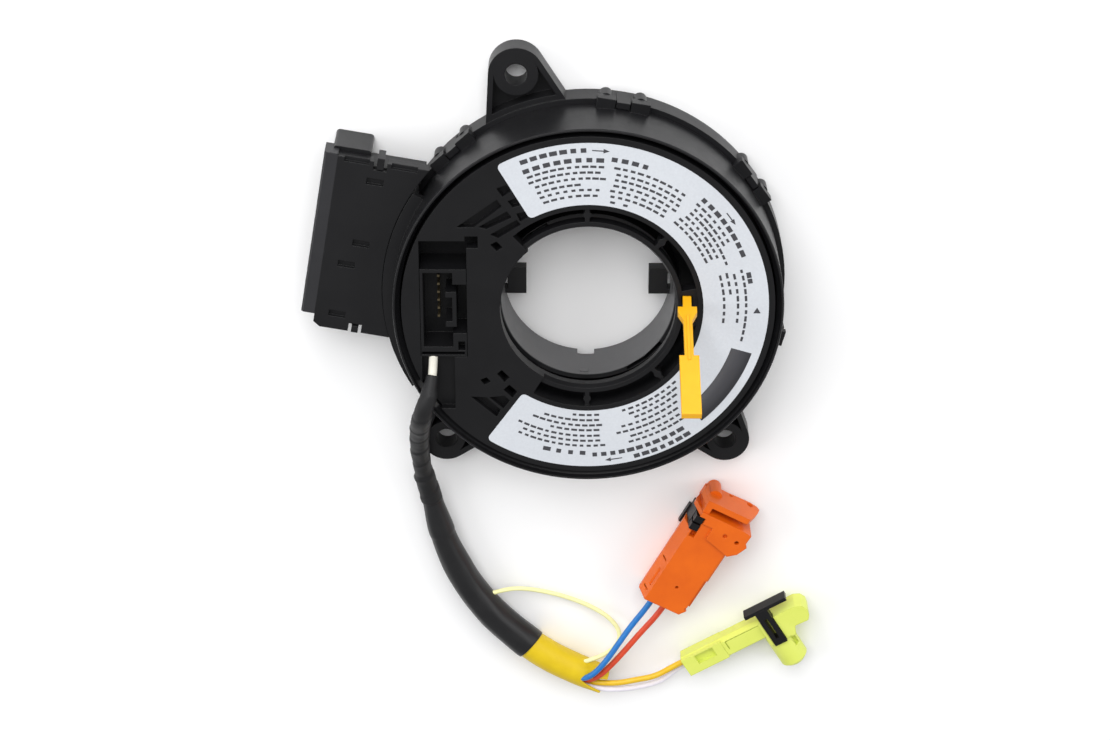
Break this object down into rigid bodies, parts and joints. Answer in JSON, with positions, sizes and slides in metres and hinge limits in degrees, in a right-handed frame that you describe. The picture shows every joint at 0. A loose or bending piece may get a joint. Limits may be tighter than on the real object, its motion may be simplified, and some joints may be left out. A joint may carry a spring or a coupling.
{
  "type": "steering clock spring",
  "caption": "Round spiral cable cassette for a steering column, with a turning face, side connector box, screw ears, lock pin and a wired harness.",
  "frame": {"origin": "on the steering axis, in the plane of the housing's back", "axes": "+Z along the steering axis, out of the labelled face towards the driver; +Y towards the upper screw ear; +X away from the connector box"},
  "size_m": [0.1329, 0.1908, 0.0555],
  "materials": {
    "black_plastic": "satin",
    "grey_plastic": "satin",
    "label_film": "satin",
    "lock_yellow": "gloss",
    "cable_film": "satin",
    "contact_metal": "plated",
    "orange_plastic": "satin",
    "yellow_green_plastic": "satin",
    "tape": "matte",
    "sleeve_vinyl": "satin",
    "yellow_vinyl": "satin",
    "blue_wire": "satin",
    "red_wire": "satin",
    "amber_wire": "satin",
    "white_wire": "satin",
    "cream_wire": "satin"
  },
  "bodies": {
    "stator": {"upper_casing": "black_plastic", "lower_housing": "black_plastic", "connector_box": "black_plastic", "box_cover": "black_plastic", "box_end_cap": "grey_plastic", "vehicle_contacts": "contact_metal", "airbag_contacts": "contact_metal"},
    "rotor": {"rotor_cover": "black_plastic", "rotor_hub": "black_plastic", "cancel_sleeve": "black_plastic", "switch_socket": "black_plastic", "socket_pins": "contact_metal", "face_label": "label_film", "flat_cable": "cable_film", "socket_lead": "white_wire", "harness_neck": "tape", "harness_sleeve": "sleeve_vinyl", "yellow_tube": "yellow_vinyl", "blue_wire": "blue_wire", "red_wire": "red_wire", "amber_wire": "amber_wire", "white_wire": "white_wire", "loop_wire": "cream_wire", "orange_plug": "orange_plastic", "yellow_plug": "yellow_green_plastic"},
    "lock_pin": {"lock_pin": "lock_yellow"},
    "orange_plug_lock": {"orange_plug_lock": "black_plastic"},
    "yellow_plug_lock": {"yellow_plug_lock": "black_plastic"}
  },
  "joints": [
    {"name": "rotor_spin", "type": "hinge", "parent": "stator", "child": "rotor", "pos_m": [0, 0, 0], "axis": [0, 0, 1], "range_deg": [-900, 900], "deforming": ["flat_cable", "harness_neck", "harness_sleeve", "yellow_tube", "blue_wire", "red_wire", "amber_wire", "white_wire", "loop_wire", "orange_plug", "orange_plug_lock", "yellow_plug", "yellow_plug_lock"]},
    {"name": "lock_pin_pull", "type": "slide", "parent": "rotor", "child": "lock_pin", "axis": [0, -0.3746, 0.9272], "range_m": [0, 0.04]},
    {"name": "orange_lock_slide", "type": "slide", "parent": "rotor", "child": "orange_plug_lock", "axis": [-0.8829, 0.4695, 0], "range_m": [0, 0.002]},
    {"name": "yellow_lock_slide", "type": "slide", "parent": "rotor", "child": "yellow_plug_lock", "axis": [-0.5225, 0.8526, 0], "range_m": [0, 0.002]}
  ]
}
